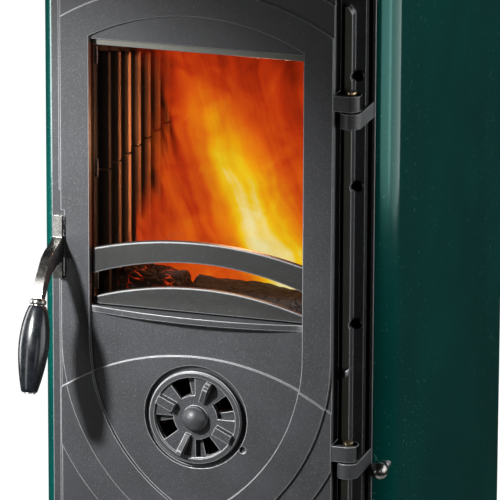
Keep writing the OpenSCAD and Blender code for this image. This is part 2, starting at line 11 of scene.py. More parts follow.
import bmesh
import bpy
from mathutils import Matrix, Vector, noise
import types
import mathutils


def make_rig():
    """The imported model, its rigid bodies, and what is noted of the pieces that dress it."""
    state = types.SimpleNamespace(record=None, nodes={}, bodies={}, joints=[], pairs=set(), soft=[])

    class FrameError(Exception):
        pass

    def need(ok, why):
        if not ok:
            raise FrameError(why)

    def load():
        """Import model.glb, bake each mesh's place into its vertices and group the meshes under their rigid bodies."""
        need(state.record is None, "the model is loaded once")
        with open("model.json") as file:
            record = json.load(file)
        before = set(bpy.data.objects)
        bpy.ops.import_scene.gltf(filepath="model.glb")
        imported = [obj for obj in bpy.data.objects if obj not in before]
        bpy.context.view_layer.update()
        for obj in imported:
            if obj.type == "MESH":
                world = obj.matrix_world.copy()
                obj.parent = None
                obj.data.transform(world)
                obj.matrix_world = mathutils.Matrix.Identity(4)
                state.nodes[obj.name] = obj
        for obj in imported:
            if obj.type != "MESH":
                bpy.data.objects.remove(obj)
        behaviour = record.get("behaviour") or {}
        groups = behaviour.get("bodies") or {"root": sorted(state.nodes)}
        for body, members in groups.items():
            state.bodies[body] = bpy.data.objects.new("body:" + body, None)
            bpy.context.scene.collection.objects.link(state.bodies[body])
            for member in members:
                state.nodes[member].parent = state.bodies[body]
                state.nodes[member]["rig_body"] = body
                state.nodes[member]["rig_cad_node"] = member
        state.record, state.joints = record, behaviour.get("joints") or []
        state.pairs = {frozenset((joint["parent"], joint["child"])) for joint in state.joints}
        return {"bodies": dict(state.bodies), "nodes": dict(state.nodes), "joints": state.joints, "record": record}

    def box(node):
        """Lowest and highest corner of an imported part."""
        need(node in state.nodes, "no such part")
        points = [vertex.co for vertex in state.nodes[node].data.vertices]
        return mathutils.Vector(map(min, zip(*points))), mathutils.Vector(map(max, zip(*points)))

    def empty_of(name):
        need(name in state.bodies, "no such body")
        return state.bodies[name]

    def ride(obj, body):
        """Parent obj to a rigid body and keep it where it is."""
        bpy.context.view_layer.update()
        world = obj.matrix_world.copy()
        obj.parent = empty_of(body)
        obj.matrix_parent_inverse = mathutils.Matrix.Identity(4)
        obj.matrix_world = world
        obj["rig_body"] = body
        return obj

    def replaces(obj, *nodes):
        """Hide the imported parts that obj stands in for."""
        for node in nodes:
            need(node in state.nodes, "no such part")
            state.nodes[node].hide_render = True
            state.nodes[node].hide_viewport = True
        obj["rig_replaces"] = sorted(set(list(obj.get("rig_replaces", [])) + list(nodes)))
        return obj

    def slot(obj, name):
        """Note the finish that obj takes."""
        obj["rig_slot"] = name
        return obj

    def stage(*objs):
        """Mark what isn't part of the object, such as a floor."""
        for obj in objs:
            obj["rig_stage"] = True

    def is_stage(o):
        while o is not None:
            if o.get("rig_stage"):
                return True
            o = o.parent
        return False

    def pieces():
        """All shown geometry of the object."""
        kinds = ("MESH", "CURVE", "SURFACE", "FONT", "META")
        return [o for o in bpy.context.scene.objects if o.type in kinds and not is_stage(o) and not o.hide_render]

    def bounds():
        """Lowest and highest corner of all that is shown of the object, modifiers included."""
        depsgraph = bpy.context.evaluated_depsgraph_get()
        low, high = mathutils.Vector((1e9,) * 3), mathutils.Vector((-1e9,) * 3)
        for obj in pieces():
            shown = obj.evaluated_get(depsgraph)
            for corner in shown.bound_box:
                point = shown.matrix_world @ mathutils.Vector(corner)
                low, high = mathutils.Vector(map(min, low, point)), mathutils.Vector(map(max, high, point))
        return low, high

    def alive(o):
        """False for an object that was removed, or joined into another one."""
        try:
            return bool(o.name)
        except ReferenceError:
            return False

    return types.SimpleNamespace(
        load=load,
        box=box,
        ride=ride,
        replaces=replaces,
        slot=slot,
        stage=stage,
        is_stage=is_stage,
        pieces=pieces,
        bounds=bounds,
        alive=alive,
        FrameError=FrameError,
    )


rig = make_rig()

bl_info = {
    "name": "Wood burning stove",
    "version": (1, 0, 0),
    "blender": (4, 5, 0),
    "location": "View3D > Sidebar > Stove",
    "description": "Builds the finishes, fire and small fittings of a cast-iron stove",
    "category": "Object",
}

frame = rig.load()
CAD_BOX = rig.bounds()
NODE_BODY = {n: b for b, ns in frame["record"]["behaviour"]["bodies"].items() for n in ns}
NODE_SLOT = {s["node"]: s["material_slot"] for s in frame["record"]["subparts"]}

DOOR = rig.box("door_casting")
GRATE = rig.box("fire_grate")
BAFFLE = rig.box("baffle_plate")
JOINTS = {j["name"]: j for j in frame["record"]["behaviour"]["joints"]}
DOOR_MID_Z = (DOOR[0][2] + DOOR[1][2]) / 2 + 0.020  # the height that the lights and camera aim at
BAND_Y = DOOR[0][1] + 0.009  # the depth of the door's flat face, behind its raised borders
SHADE_SOOT_Y = BAND_Y + 0.007  # faces of the door behind this depth are darkened: painted shade of the recess, partly soot
HANDLE_TILT = math.radians(18.5)  # the grip hangs this far off vertical


# ---------------------------------------------------------------- helpers

def mm(length):
    """Millimetres to metres."""
    return length / 1000.0


def paint(hex_colour, alpha=1.0):
    """An sRGB hex colour as linear RGBA."""
    channels = [int(hex_colour[i:i + 2], 16) / 255 for i in (1, 3, 5)]
    linear = [c / 12.92 if c <= 0.04045 else ((c + 0.055) / 1.055) ** 2.4 for c in channels]
    return (*linear, alpha)


def add_node(tree, kind, inputs=None, **settings):
    """Adds one node, sets its properties, and fills or links its inputs."""
    made = tree.nodes.new(kind)
    for name, value in settings.items():
        setattr(made, name, value)
    for key, value in (inputs or {}).items():
        socket = made.inputs[key]
        if isinstance(value, bpy.types.NodeSocket):
            tree.links.new(value, socket)
        else:
            socket.default_value = value
    return made


def calc(tree, operation, *values):
    """One step of arithmetic in a node tree."""
    return add_node(tree, "ShaderNodeMath", dict(enumerate(values)), operation=operation).outputs[0]


def remap(tree, value, low, high, to_low=0.0, to_high=1.0):
    """Eases a value from one range to another and holds it at both ends."""
    return add_node(tree, "ShaderNodeMapRange", {
        "Value": value, "From Min": low, "From Max": high, "To Min": to_low, "To Max": to_high,
    }, interpolation_type="SMOOTHSTEP").outputs["Result"]


def set_ramp(node, stops):
    """Gives a colour ramp its stops, each a place and a linear colour."""
    ramp = node.color_ramp
    while len(ramp.elements) > 1:
        ramp.elements.remove(ramp.elements[-1])
    ramp.elements[0].position, ramp.elements[0].color = stops[0]
    for place, colour in stops[1:]:
        ramp.elements.new(place).color = colour
    return node.outputs["Color"]


def new_finish(name):
    """A fresh material with its shader, tree and object coordinates in metres."""
    finish = bpy.data.materials.new(name)
    finish.use_nodes = True
    tree = finish.node_tree
    shader = tree.nodes["Principled BSDF"]
    coords = add_node(tree, "ShaderNodeTexCoord").outputs["Object"]
    return finish, tree, shader, coords


def new_piece(name, verts, faces, smooth=True):
    """A mesh object in the frame's axes."""
    mesh = bpy.data.meshes.new(name)
    mesh.from_pydata(verts, [], faces)
    mesh.validate()
    piece = bpy.data.objects.new(name, mesh)
    bpy.context.scene.collection.objects.link(piece)
    mesh.polygons.foreach_set("use_smooth", [smooth] * len(mesh.polygons))
    return piece


def fit(piece, body, finish, slot, *nodes):
    """Gives a piece its body, finish and slot, and the CAD nodes it stands for."""
    piece.data.materials.clear()
    piece.data.materials.append(finish)
    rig.ride(piece, body)
    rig.slot(piece, slot)
    if nodes:
        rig.replaces(piece, *nodes)


def ease_edges(piece, radius, segments=2, angle=35):
    """Rounds a piece's edges and evens out its shading."""
    bevel = piece.modifiers.new("rounded edges", "BEVEL")
    bevel.width = radius
    bevel.segments = segments
    bevel.limit_method = "ANGLE"
    bevel.angle_limit = math.radians(angle)
    bevel.harden_normals = True
    weighted = piece.modifiers.new("even shading", "WEIGHTED_NORMAL")
    weighted.keep_sharp = True


def eased_copy(node, finish, radius, segments=2, angle=35):
    """A copy of a CAD node with rounded edges, which stands for it."""
    work = bmesh.new()
    work.from_mesh(frame["nodes"][node].data)
    bmesh.ops.remove_doubles(work, verts=work.verts, dist=2e-6)
    bmesh.ops.dissolve_limit(work, angle_limit=math.radians(0.6), verts=work.verts, edges=work.edges)
    work.verts.ensure_lookup_table()
    verts = [v.co.copy() for v in work.verts]
    faces = [[v.index for v in f.verts] for f in work.faces]
    work.free()
    piece = new_piece(node + "_finished", verts, faces)
    ease_edges(piece, radius, segments, angle)
    fit(piece, NODE_BODY[node], finish, NODE_SLOT[node], node)
    return piece


def lathe(name, profile, place, axis, around=64):
    """Turns (radius, height) points round an axis through place."""
    verts, faces = [], []
    turn = Vector((0, 0, 1)).rotation_difference(Vector(axis)).to_matrix()
    for r, h in profile:
        for k in range(around):
            a = 2 * math.pi * k / around
            verts.append(Vector(place) + turn @ Vector((r * math.cos(a), r * math.sin(a), h)))
    for i in range(len(profile) - 1):
        for k in range(around):
            n = (k + 1) % around
            faces.append((i * around + k, i * around + n, (i + 1) * around + n, (i + 1) * around + k))
    last = (len(profile) - 1) * around
    faces.append(tuple(range(around - 1, -1, -1)))
    faces.append(tuple(last + k for k in range(around)))
    piece = new_piece(name, verts, faces)
    ease_edges(piece, mm(0.4), 2, 40)
    return piece


def prism(name, outline, low, high):
    """Stands a closed (x, y) outline up between two heights."""
    n = len(outline)
    verts = [(x, y, low) for x, y in outline] + [(x, y, high) for x, y in outline]
    faces = [(i, (i + 1) % n, n + (i + 1) % n, n + i) for i in range(n)]
    faces += [tuple(range(n - 1, -1, -1)), tuple(range(n, 2 * n))]
    return new_piece(name, verts, faces)


# ---------------------------------------------------------------- finishes

def sand_cast_iron(name, dark, light, grain_mm, roughness, specular, shade_soot_from=None, edge_highlight="#bcbdbf"):
    """Grey iron cast in sand and sprayed with stove paint.

    Its pebbled skin has painted glints here and there, its edges are painted pale as painted highlights, and faces
    deeper than the given depth are darkened as painted shade, partly soot.
    """
    finish, tree, shader, coords = new_finish(name)
    pebble = add_node(tree, "ShaderNodeTexNoise", {
        "Vector": coords, "Scale": 1 / mm(grain_mm), "Detail": 4.0, "Roughness": 0.7}).outputs["Fac"]
    # Pale flecks mixed into the colour are painted glints of the lamps on the pebbled skin.
    painted_glint_noise = add_node(tree, "ShaderNodeTexNoise", {
        "Vector": coords, "Scale": 1 / mm(grain_mm * 0.7), "Detail": 1.0}).outputs["Fac"]
    cloud = add_node(tree, "ShaderNodeTexNoise", {
        "Vector": coords, "Scale": 1 / mm(60), "Detail": 3.0}).outputs["Fac"]
    colour = set_ramp(add_node(tree, "ShaderNodeValToRGB", {"Fac": cloud}), [
        (0.3, paint(dark)), (0.7, paint(light))])
    painted_glint = remap(tree, painted_glint_noise, 0.62, 0.74, 0.0, 0.45)
    colour = add_node(tree, "ShaderNodeMix", {
        "Factor": painted_glint, "A": colour, "B": paint("#8f8f92")}, data_type="RGBA").outputs["Result"]
    shader.inputs["Specular IOR Level"].default_value = specular
    if shade_soot_from is not None:
        # Faces deeper than this depth turn near black and lose their gloss: painted shade of the recess round the
        # glass, partly soot.
        depth = add_node(tree, "ShaderNodeSeparateXYZ", {"Vector": coords}).outputs["Y"]
        soot = remap(tree, depth, shade_soot_from, shade_soot_from + mm(3))
        colour = add_node(tree, "ShaderNodeMix", {
            "Factor": soot, "A": colour, "B": paint("#050506")}, data_type="RGBA").outputs["Result"]
        gloss = remap(tree, soot, 0.0, 1.0, specular, 0.02)
        tree.links.new(gloss, shader.inputs["Specular IOR Level"])
    rough = remap(tree, pebble, 0.3, 0.7, roughness - 0.1, roughness + 0.12)
    # Edges are painted pale and made a little glossier: painted highlights along the edges, found where the rounded
    # normal turns from the flat one.
    rounded = add_node(tree, "ShaderNodeBevel", {"Radius": mm(1.4)}, samples=6).outputs["Normal"]
    flat = add_node(tree, "ShaderNodeNewGeometry").outputs["True Normal"]
    turned = add_node(tree, "ShaderNodeVectorMath", {
        0: rounded, 1: flat}, operation="DOT_PRODUCT").outputs["Value"]
    edge_highlight_mask = calc(tree, "MULTIPLY", remap(tree, turned, 0.998, 0.95), 0.75)
    colour = add_node(tree, "ShaderNodeMix", {
        "Factor": edge_highlight_mask, "A": colour, "B": paint(edge_highlight)}, data_type="RGBA").outputs["Result"]
    rough = calc(tree, "MULTIPLY_ADD", edge_highlight_mask, -0.25, rough)
    bump = add_node(tree, "ShaderNodeBump", {
        "Height": pebble, "Strength": 0.5, "Distance": mm(0.35), "Normal": rounded}).outputs["Normal"]
    tree.links.new(colour, shader.inputs["Base Color"])
    tree.links.new(rough, shader.inputs["Roughness"])
    tree.links.new(bump, shader.inputs["Normal"])
    return finish


def vitreous_enamel(name, colour_hex):
    """Glass fused to sheet steel: deep colour under a clear, slightly wavy gloss, with specks of dust."""
    finish, tree, shader, coords = new_finish(name)
    wave = add_node(tree, "ShaderNodeTexNoise", {
        "Vector": coords, "Scale": 1 / mm(22), "Detail": 2.0}).outputs["Fac"]
    depth = add_node(tree, "ShaderNodeTexNoise", {
        "Vector": coords, "Scale": 1 / mm(140), "Detail": 1.0}).outputs["Fac"]
    dust = add_node(tree, "ShaderNodeTexNoise", {
        "Vector": coords, "Scale": 1 / mm(2.4), "Detail": 0.0}).outputs["Fac"]
    base = set_ramp(add_node(tree, "ShaderNodeValToRGB", {"Fac": depth}), [
        (0.3, paint("#033a36")), (0.7, paint(colour_hex))])
    speck = add_node(tree, "ShaderNodeMapRange", {
        "Value": dust, "From Min": 0.80, "From Max": 0.84, "To Min": 0.0, "To Max": 0.6}).outputs["Result"]
    colour = add_node(tree, "ShaderNodeMix", {
        "Factor": speck, "A": base, "B": paint("#5f8f86")}, data_type="RGBA").outputs["Result"]
    bump = add_node(tree, "ShaderNodeBump", {
        "Height": wave, "Strength": 0.12, "Distance": mm(0.25)}).outputs["Normal"]
    tree.links.new(colour, shader.inputs["Base Color"])
    tree.links.new(bump, shader.inputs["Normal"])
    shader.inputs["Roughness"].default_value = 0.14
    shader.inputs["IOR"].default_value = 1.52
    shader.inputs["Specular Tint"].default_value = paint("#8ffff0")
    shader.inputs["Coat Weight"].default_value = 0.12
    shader.inputs["Coat Roughness"].default_value = 0.05
    return finish


def bright_metal(name, colour_hex, roughness, scratch_mm, tarnish):
    """Plated or turned metal: fine scratches and a little tarnish break up its reflections."""
    finish, tree, shader, coords = new_finish(name)
    stretch = add_node(tree, "ShaderNodeMapping", {"Vector": coords, "Scale": (1, 1, 6)}).outputs["Vector"]
    scratch = add_node(tree, "ShaderNodeTexNoise", {
        "Vector": stretch, "Scale": 1 / mm(scratch_mm), "Detail": 3.0}).outputs["Fac"]
    cloud = add_node(tree, "ShaderNodeTexNoise", {
        "Vector": coords, "Scale": 1 / mm(9), "Detail": 4.0}).outputs["Fac"]
    colour = set_ramp(add_node(tree, "ShaderNodeValToRGB", {"Fac": cloud}), [
        (0.35, paint(tarnish)), (0.6, paint(colour_hex))])
    rough = add_node(tree, "ShaderNodeMapRange", {
        "Value": scratch, "From Min": 0.3, "From Max": 0.7,
        "To Min": roughness, "To Max": roughness + 0.12}).outputs["Result"]
    bump = add_node(tree, "ShaderNodeBump", {
        "Height": scratch, "Strength": 0.15, "Distance": mm(0.05)}).outputs["Normal"]
    tree.links.new(colour, shader.inputs["Base Color"])
    tree.links.new(rough, shader.inputs["Roughness"])
    tree.links.new(bump, shader.inputs["Normal"])
    shader.inputs["Metallic"].default_value = 1.0
    return finish


def bakelite(name):
    """Pressed phenolic resin, polished: near black with a hard gloss and faint fingermarks."""
    finish, tree, shader, coords = new_finish(name)
    smear = add_node(tree, "ShaderNodeTexNoise", {
        "Vector": coords, "Scale": 1 / mm(12), "Detail": 5.0, "Roughness": 0.7}).outputs["Fac"]
    colour = set_ramp(add_node(tree, "ShaderNodeValToRGB", {"Fac": smear}), [
        (0.3, paint("#0d0f12")), (0.8, paint("#191c21"))])
    rough = add_node(tree, "ShaderNodeMapRange", {
        "Value": smear, "From Min": 0.35, "From Max": 0.75, "To Min": 0.2, "To Max": 0.36}).outputs["Result"]
    tree.links.new(colour, shader.inputs["Base Color"])
    tree.links.new(rough, shader.inputs["Roughness"])
    shader.inputs["Coat Weight"].default_value = 0.2
    shader.inputs["Coat Roughness"].default_value = 0.06
    return finish


def ceramic_glass(name):
    """Clear glass ceramic, faintly brown, with soot at its edges."""
    finish, tree, shader, coords = new_finish(name)
    soot = add_node(tree, "ShaderNodeTexNoise", {
        "Vector": coords, "Scale": 1 / mm(70), "Detail": 4.0}).outputs["Fac"]
    veil = add_node(tree, "ShaderNodeMapRange", {
        "Value": soot, "From Min": 0.4, "From Max": 0.8, "To Min": 0.05, "To Max": 0.16}).outputs["Result"]
    tree.links.new(veil, shader.inputs["Alpha"])
    shader.inputs["Base Color"].default_value = paint("#1a120c")
    shader.inputs["Roughness"].default_value = 0.03
    return finish


def knitted_rope(name):
    """Glass-fibre rope, knitted: grey cords that cross at a slant every few millimetres."""
    finish, tree, shader, coords = new_finish(name)
    bands = [
        add_node(tree, "ShaderNodeTexWave", {
            "Vector": add_node(tree, "ShaderNodeMapping", {
                "Vector": coords, "Rotation": (0.3, turn, turn)}).outputs["Vector"],
            "Scale": 1 / mm(14), "Distortion": 0.6}).outputs["Fac"]
        for turn in (0.8, -0.8)]
    knit = add_node(tree, "ShaderNodeMath", {0: bands[0], 1: bands[1]}, operation="MULTIPLY").outputs[0]
    colour = set_ramp(add_node(tree, "ShaderNodeValToRGB", {"Fac": knit}), [
        (0.0, paint("#2b2b2a")), (0.7, paint("#77746d"))])
    bump = add_node(tree, "ShaderNodeBump", {
        "Height": knit, "Strength": 0.8, "Distance": mm(1.0)}).outputs["Normal"]
    tree.links.new(colour, shader.inputs["Base Color"])
    tree.links.new(bump, shader.inputs["Normal"])
    shader.inputs["Roughness"].default_value = 0.95
    return finish


def vermiculite(name):
    """Pressed vermiculite board: flaky tan grains, blackened by smoke."""
    finish, tree, shader, coords = new_finish(name)
    flakes = add_node(tree, "ShaderNodeTexVoronoi", {"Vector": coords, "Scale": 1 / mm(4)})
    soot = add_node(tree, "ShaderNodeTexNoise", {"Vector": coords, "Scale": 1 / mm(90)}).outputs["Fac"]
    grain = set_ramp(add_node(tree, "ShaderNodeValToRGB", {"Fac": flakes.outputs["Distance"]}), [
        (0.1, paint("#b09468")), (0.6, paint("#6d5a3e"))])
    colour = add_node(tree, "ShaderNodeMix", {
        "Factor": soot, "A": paint("#1c1814"), "B": grain}, data_type="RGBA").outputs["Result"]
    bump = add_node(tree, "ShaderNodeBump", {
        "Height": flakes.outputs["Distance"], "Strength": 0.5, "Distance": mm(0.6)}).outputs["Normal"]
    tree.links.new(colour, shader.inputs["Base Color"])
    tree.links.new(bump, shader.inputs["Normal"])
    shader.inputs["Roughness"].default_value = 0.95
    return finish


def sooty_iron_painted_lit_crests(name):
    """Bare cast iron inside the fire: sooty plates, with rib crests painted pale brown as painted highlight from the
    flames and lamps, fading to black towards the glass.
    """
    finish, tree, shader, coords = new_finish(name)
    rust = add_node(tree, "ShaderNodeTexNoise", {
        "Vector": coords, "Scale": 1 / mm(18), "Detail": 6.0, "Roughness": 0.7}).outputs["Fac"]
    skin = add_node(tree, "ShaderNodeTexNoise", {
        "Vector": coords, "Scale": 1 / mm(1.6), "Detail": 3.0}).outputs["Fac"]
    place = add_node(tree, "ShaderNodeSeparateXYZ", {"Vector": coords})
    reach = calc(tree, "ABSOLUTE", place.outputs["X"])
    # Painted highlight: the rib crests by the side plates are painted pale brown, fading out towards the glass.
    crest_highlight = remap(tree, reach, mm(136), mm(131.5))
    crest_highlight = calc(tree, "MULTIPLY", crest_highlight, remap(tree, place.outputs["Y"], mm(-150), mm(-85), 0.0, 1.0))
    crest_highlight = calc(tree, "MULTIPLY", crest_highlight, remap(tree, rust, 0.2, 0.5, 0.6, 1.0))
    plate = set_ramp(add_node(tree, "ShaderNodeValToRGB", {"Fac": rust}), [
        (0.3, paint("#0f0a09")), (0.8, paint("#2a1b16"))])
    colour = add_node(tree, "ShaderNodeMix", {
        "Factor": crest_highlight, "A": plate, "B": paint("#c39a78")}, data_type="RGBA").outputs["Result"]
    bump = add_node(tree, "ShaderNodeBump", {
        "Height": skin, "Strength": 0.6, "Distance": mm(0.5)}).outputs["Normal"]
    tree.links.new(colour, shader.inputs["Base Color"])
    tree.links.new(bump, shader.inputs["Normal"])
    shader.inputs["Roughness"].default_value = 0.85
    return finish


def charred_wood(name, glow, floor):
    """Burning log: brown-black char split into blocks, red hot underneath and in a few cracks."""
    finish, tree, shader, coords = new_finish(name)
    block_top = paint("#3a1f15" if glow > 0.5 else "#110b09")
    warp = add_node(tree, "ShaderNodeTexNoise", {"Vector": coords, "Scale": 1 / mm(30)}).outputs["Color"]
    bent = add_node(tree, "ShaderNodeVectorMath", {
        0: add_node(tree, "ShaderNodeVectorMath", {0: warp, "Scale": mm(12)}, operation="SCALE").outputs[0],
        1: coords}, operation="ADD").outputs[0]
    stretch = add_node(tree, "ShaderNodeMapping", {"Vector": bent, "Scale": (0.6, 1, 1)}).outputs["Vector"]
    blocks = add_node(tree, "ShaderNodeTexVoronoi", {
        "Vector": stretch, "Scale": 1 / mm(8)}, feature="DISTANCE_TO_EDGE").outputs["Distance"]
    heat = add_node(tree, "ShaderNodeTexNoise", {
        "Vector": coords, "Scale": 1 / mm(22), "Detail": 4.0}).outputs["Fac"]
    height = add_node(tree, "ShaderNodeSeparateXYZ", {"Vector": coords}).outputs["Z"]
    under = remap(tree, height, floor + mm(30), floor, 0.0, 1.0)
    patch = remap(tree, heat, 0.72 - 0.22 * glow, 0.86 - 0.2 * glow)
    crack = remap(tree, blocks, 0.09, 0.0)
    ember = calc(tree, "MULTIPLY", patch, calc(tree, "MULTIPLY_ADD", crack, 0.75, calc(
        tree, "MULTIPLY", under, 0.45 * glow)))
    colour = set_ramp(add_node(tree, "ShaderNodeValToRGB", {"Fac": blocks}), [
        (0.0, paint("#030202")), (0.12, paint("#120907")), (0.5, block_top)])
    light = set_ramp(add_node(tree, "ShaderNodeValToRGB", {"Fac": ember}), [
        (0.0, paint("#000000")), (0.3, paint("#5c0f04")), (0.65, paint("#d23c0c")), (1.0, paint("#ff9a4a"))])
    bump = add_node(tree, "ShaderNodeBump", {
        "Height": calc(tree, "MINIMUM", blocks, 0.25), "Strength": 1.0, "Distance": mm(6)}).outputs["Normal"]
    tree.links.new(colour, shader.inputs["Base Color"])
    tree.links.new(light, shader.inputs["Emission Color"])
    tree.links.new(bump, shader.inputs["Normal"])
    shader.inputs["Emission Strength"].default_value = 1.0
    shader.inputs["Roughness"].default_value = 0.8
    return finish


def flame(name, seed, shift, heat_low, jet_gain, cover, strength):
    """Glowing gas: a bright jet that leans left as it rises, in a body of long red and orange streaks."""
    finish, tree, shader, coords = new_finish(name)
    lean, curl = 0.5, -0.75
    place = add_node(tree, "ShaderNodeSeparateXYZ", {"Vector": coords})
    side = calc(tree, "SUBTRACT", place.outputs["X"], shift[0])
    rise = calc(tree, "SUBTRACT", place.outputs["Z"], shift[1])
    bend = calc(tree, "MULTIPLY", calc(tree, "MULTIPLY", rise, rise), curl)
    across = calc(tree, "ADD", calc(tree, "MULTIPLY_ADD", rise, lean, side), bend)
    sway = add_node(tree, "ShaderNodeTexNoise", {
        "Vector": coords, "Scale": 1 / mm(75), "Detail": 2.0}).outputs["Fac"]
    across = calc(tree, "MULTIPLY_ADD", calc(tree, "SUBTRACT", sway, 0.5), mm(42), across)
    flow = add_node(tree, "ShaderNodeCombineXYZ", {
        "X": across, "Y": seed, "Z": calc(tree, "MULTIPLY", rise, 0.09)}).outputs[0]
    broad = add_node(tree, "ShaderNodeTexNoise", {
        "Vector": flow, "Scale": 1 / mm(38), "Detail": 3.0, "Distortion": 0.4}).outputs["Fac"]
    fine = add_node(tree, "ShaderNodeTexNoise", {
        "Vector": flow, "Scale": 1 / mm(15), "Detail": 2.0, "Roughness": 0.5,
        "Distortion": 0.4}).outputs["Fac"]
    puff = add_node(tree, "ShaderNodeTexNoise", {
        "Vector": coords, "Scale": 1 / mm(46), "Detail": 3.0, "Distortion": 1.2}).outputs["Fac"]
    jet = remap(tree, calc(tree, "ABSOLUTE", across), mm(66), mm(6), 0.0, 1.0)
    jet = calc(tree, "MULTIPLY", jet, remap(tree, rise, mm(270), mm(60), 0.0, 1.0))
    heat = calc(tree, "MULTIPLY_ADD", jet, jet_gain, heat_low)
    heat = calc(tree, "MULTIPLY_ADD", remap(tree, rise, mm(90), mm(0)), 0.05, heat)
    heat = calc(tree, "MULTIPLY_ADD", remap(tree, rise, mm(110), mm(260)), -0.15, heat)
    heat = calc(tree, "MULTIPLY_ADD", calc(tree, "SUBTRACT", broad, 0.5), 0.60, heat)
    heat = calc(tree, "MULTIPLY_ADD", calc(tree, "SUBTRACT", fine, 0.5), 0.20, heat)
    heat = calc(tree, "MULTIPLY_ADD", calc(tree, "SUBTRACT", puff, 0.5), 0.30, heat)
    spread = calc(tree, "SUBTRACT", rise, mm(139))
    edge = calc(tree, "MULTIPLY_ADD", calc(tree, "MULTIPLY", spread, spread), 3.0, side)
    edge = calc(tree, "MULTIPLY_ADD", calc(tree, "SUBTRACT", broad, 0.5), mm(60), edge)
    edge = calc(tree, "MULTIPLY_ADD", calc(tree, "SUBTRACT", fine, 0.5), mm(22), edge)
    veil = remap(tree, edge, mm(-150), mm(-118))
    thin = remap(tree, heat, 0.05, 0.42, 0.35, 1.0)
    light = set_ramp(add_node(tree, "ShaderNodeValToRGB", {"Fac": heat}), [
        (0.0, paint("#3a0a05")), (0.16, paint("#8c1e0a")), (0.32, paint("#c8370f")),
        (0.46, paint("#e25a12")), (0.60, paint("#f08312")), (0.74, paint("#fbab0e")),
        (0.87, paint("#fed21e")), (1.0, paint("#fff0a8"))])
    tree.links.new(light, shader.inputs["Emission Color"])
    tree.links.new(calc(tree, "MULTIPLY", calc(tree, "MULTIPLY", veil, thin), cover), shader.inputs["Alpha"])
    shader.inputs["Emission Strength"].default_value = strength
    shader.inputs["Base Color"].default_value = paint("#000000")
    shader.inputs["Specular IOR Level"].default_value = 0.0
    shader.inputs["Roughness"].default_value = 1.0
    return finish


FINISHES = {}


def make_finishes():
    """Makes every finish once."""
    sizes = bpy.context.scene.stove_looks
    FINISHES.update({
        "door_iron": sand_cast_iron("charcoal stove paint", "#2e2f31", "#37383b", 1.2, 0.42, 0.6),
        "door_front": sand_cast_iron(
            "charcoal stove paint, sooty inside", "#2e2f31", "#37383b", 1.2, 0.42, 0.6, SHADE_SOOT_Y),
        # A lighter copy of the door paint: painted light on the strip under the window head and on the surround's rim.
        "head_strip": sand_cast_iron("heat-bleached stove paint", "#5d5d55", "#6d6d63", 1.2, 0.5, 0.6),
        "bar_iron": sand_cast_iron("smoked stove paint", "#191a18", "#212220", 1.2, 0.45, 0.5),
        "body_iron": sand_cast_iron("black stove paint", "#17181a", "#202124", 1.3, 0.55, 0.5),
        "frame_black": sand_cast_iron(
            "black stove paint in shadow", "#050506", "#09090b", 1.3, 0.75, 0.15, edge_highlight="#101012"),
        "sheet_steel": sand_cast_iron("satin black sheet steel", "#1a1b1e", "#232427", 0.6, 0.45, 0.5),
        "enamel": vitreous_enamel("green vitreous enamel", sizes.enamel_colour),
        "chrome": bright_metal("satin chrome plate", "#aeadaa", 0.2, 2.0, "#7d7a75"),
        "zinc_steel": bright_metal("zinc plated steel", "#b9babd", 0.28, 1.2, "#8a8b8f"),
        "hinge_steel": bright_metal("turned steel", "#c8b48e", 0.25, 0.8, "#6e6252"),
        "bolt_black": bright_metal("black oxide steel", "#141416", 0.35, 0.8, "#0b0b0c"),
        "brass": bright_metal("tarnished brass", "#6e5a34", 0.4, 0.8, "#3c3020"),
        "bakelite": bakelite("polished phenolic resin"),
        "glass": ceramic_glass("clear glass ceramic"),
        "rope": knitted_rope("knitted glass-fibre rope"),
        "vermiculite": vermiculite("pressed vermiculite board"),
        "liner": sooty_iron_painted_lit_crests("fire-stained cast iron"),
    })


# ---------------------------------------------------------------- pieces

class StoveLooks(bpy.types.PropertyGroup):
    """Sizes and colours that a user would change."""

    enamel_colour: bpy.props.StringProperty(
        name="Enamel colour", description="sRGB hex colour of the side panels", default="#03453f")
    cast_edge: bpy.props.FloatProperty(
        name="Cast edge radius", description="Rounding of the castings' edges",
        default=mm(1.9), min=mm(0.3), max=mm(2.5), unit="LENGTH")
    flame_strength: bpy.props.FloatProperty(
        name="Flame strength", description="Brightness of the flames", default=1.0, min=0.0, max=10.0)
    ember_count: bpy.props.IntProperty(
        name="Embers", description="Loose embers on the grate", default=26, min=0, max=60)


